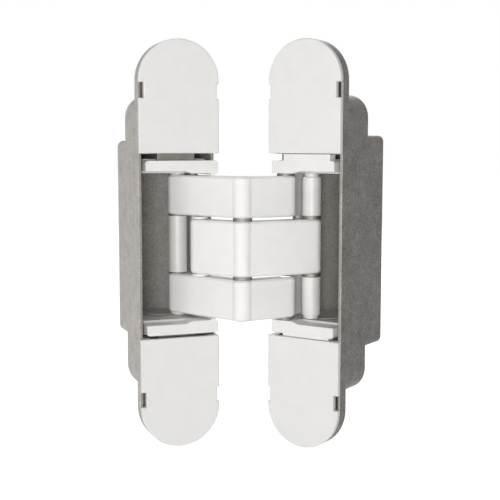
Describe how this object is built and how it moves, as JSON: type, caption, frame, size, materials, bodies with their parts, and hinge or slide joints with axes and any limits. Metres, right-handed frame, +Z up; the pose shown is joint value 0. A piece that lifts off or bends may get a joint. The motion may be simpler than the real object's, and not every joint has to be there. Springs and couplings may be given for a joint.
{
  "type": "concealed door hinge",
  "caption": "Concealed invisible door hinge: two long round-ended recessed halves with white covers, joined by stacked folding arms that hide in their cavities when the door is shut.",
  "frame": {"origin": "middle of the frame half's face, in the plane of its two cover plates", "axes": "+Z up along the pivots, +Y into the frame half (into the door frame), +X across its face towards the arms and the leaf half"},
  "size_m": [0.0991, 0.0675, 0.16],
  "materials": {
    "raw_zinc_case": "matte",
    "raw_zinc_inner": "matte",
    "pin_steel": "satin",
    "screw_steel": "satin",
    "washer_steel": "satin",
    "bush_plastic": "matte",
    "white_guide": "satin",
    "white_cover": "satin",
    "white_carrier": "satin",
    "white_spacer": "satin",
    "white_arm": "satin"
  },
  "bodies": {
    "frame_half": {"frame_carrier": "white_carrier", "frame_case": "raw_zinc_case", "frame_clamp_screws": "screw_steel", "frame_cover_lower": "white_cover", "frame_cover_upper": "white_cover", "frame_guide_lower": "white_guide", "frame_guide_upper": "white_guide", "frame_pivot_pin": "pin_steel", "frame_slide_lower": "raw_zinc_inner", "frame_slide_upper": "raw_zinc_inner"},
    "middle_arm": {"middle_arm": "white_arm", "frame_pivot_bush": "bush_plastic", "centre_bush": "bush_plastic", "leaf_guide_pin": "pin_steel", "leaf_spacer_upper": "white_spacer", "leaf_spacer_lower": "white_spacer", "leaf_guide_washers": "washer_steel", "leaf_end_washers": "washer_steel"},
    "outer_arms": {"outer_arm_upper": "white_arm", "outer_arm_lower": "white_arm", "centre_pin": "pin_steel", "centre_washers": "washer_steel", "frame_guide_pin": "pin_steel", "frame_spacer": "white_spacer", "frame_guide_washers": "washer_steel", "frame_end_washers": "washer_steel", "leaf_pivot_bushes": "bush_plastic"},
    "leaf_half": {"leaf_carrier": "white_carrier", "leaf_case": "raw_zinc_case", "leaf_clamp_screws": "screw_steel", "leaf_cover_lower": "white_cover", "leaf_cover_upper": "white_cover", "leaf_guide_lower": "white_guide", "leaf_guide_upper": "white_guide", "leaf_pivot_pins": "pin_steel", "leaf_pivot_washers": "washer_steel", "leaf_slide_lower": "raw_zinc_inner", "leaf_slide_upper": "raw_zinc_inner"}
  },
  "joints": [
    {"name": "frame_pivot", "type": "hinge", "parent": "frame_half", "child": "middle_arm", "pos_m": [0.0101, 0.00635, 0], "axis": [0, 0, 1], "range_deg": [-92.61, 39.69]},
    {"name": "centre_pivot", "type": "hinge", "parent": "middle_arm", "child": "outer_arms", "pos_m": [0.02212, -0.01038, 0], "axis": [0, 0, 1], "range_deg": [-29.43, 68.67]},
    {"name": "leaf_pivot", "type": "hinge", "parent": "outer_arms", "child": "leaf_half", "pos_m": [0.04145, -0.00714, 0], "axis": [0, 0, 1], "range_deg": [-102.06, 43.74]}
  ],
  "couplings": [
    {"joint": "centre_pivot", "follows": "frame_pivot", "ratio": -0.7415},
    {"joint": "leaf_pivot", "follows": "frame_pivot", "ratio": 1.102}
  ]
}
